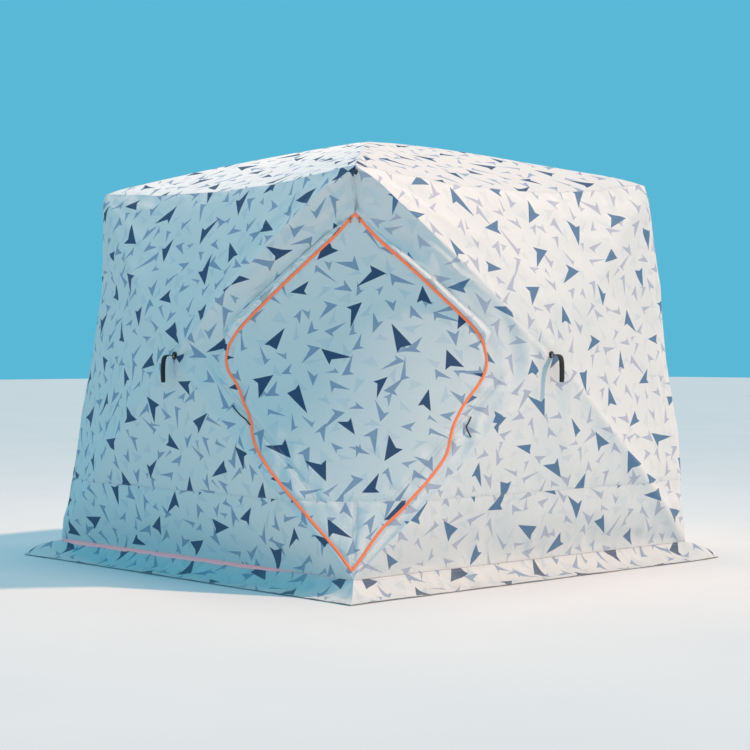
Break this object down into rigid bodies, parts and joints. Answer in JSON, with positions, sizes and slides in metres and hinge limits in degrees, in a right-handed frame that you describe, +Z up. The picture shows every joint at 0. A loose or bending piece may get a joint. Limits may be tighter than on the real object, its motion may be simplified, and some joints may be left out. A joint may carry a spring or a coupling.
{
  "type": "ice fishing hut",
  "caption": "Square pop-up hub shelter for ice fishing: bowed cloth walls, low pyramid roof, ground skirt and a zipped diamond door across one corner, on a folding pole frame.",
  "frame": {"origin": "on the ground, under the top of the roof", "axes": "+Z up; the walls face -Y (right wall), -X (left wall), +X (back right) and +Y (back left); the door's corner points to -X and -Y"},
  "size_m": [2.7026, 2.7026, 2.2003],
  "materials": {
    "door_cloth": null,
    "ferrule_plastic": "black moulded nylon",
    "fibreglass": "off-white solid fibreglass rod",
    "flap_cloth": null,
    "hem_binding": "dark grey woven binding",
    "hub_plastic": "black glass-filled nylon",
    "joint_plastic": "black nylon",
    "pin_steel": "zinc-plated steel pins",
    "piping": "orange piping, faded",
    "roof_cloth": null,
    "skirt_cloth": null,
    "strap_webbing": "black polyester webbing",
    "tie_webbing": "black polyester webbing",
    "wall_cloth": null,
    "zip_metal": "black die-cast sliders",
    "zip_tape": "orange woven zip tape with a nylon coil"
  },
  "bodies": {
    "root": {"right_wall_upper": "wall_cloth", "right_wall_lower": "wall_cloth", "left_wall_upper": "wall_cloth", "left_wall_lower": "wall_cloth", "back_right_wall_upper": "wall_cloth", "back_right_wall_lower": "wall_cloth", "back_left_wall_upper": "wall_cloth", "back_left_wall_lower": "wall_cloth", "right_roof_gore": "roof_cloth", "left_roof_gore": "roof_cloth", "back_right_roof_gore": "roof_cloth", "back_left_roof_gore": "roof_cloth", "right_skirt": "skirt_cloth", "left_skirt": "skirt_cloth", "back_right_skirt": "skirt_cloth", "back_left_skirt": "skirt_cloth", "door_upper_panel": "door_cloth", "door_lower_panel": "door_cloth", "door_zip": "zip_tape", "zip_sliders": "zip_metal", "storm_flap_right": "flap_cloth", "storm_flap_left": "flap_cloth", "wall_piping": "piping", "skirt_hem": "hem_binding", "right_hub": "hub_plastic", "left_hub": "hub_plastic", "back_right_hub": "hub_plastic", "back_left_hub": "hub_plastic", "roof_hub": "hub_plastic", "right_poles": "fibreglass", "left_poles": "fibreglass", "back_right_poles": "fibreglass", "back_left_poles": "fibreglass", "roof_poles": "fibreglass", "hub_pins": "pin_steel", "pole_ferrules": "ferrule_plastic", "top_corner_joints": "joint_plastic", "base_corner_joints": "joint_plastic", "right_strap": "strap_webbing", "left_strap": "strap_webbing", "back_right_strap": "strap_webbing", "back_left_strap": "strap_webbing", "corner_loop": "tie_webbing", "door_ties": "tie_webbing"}
  },
  "joints": []
}
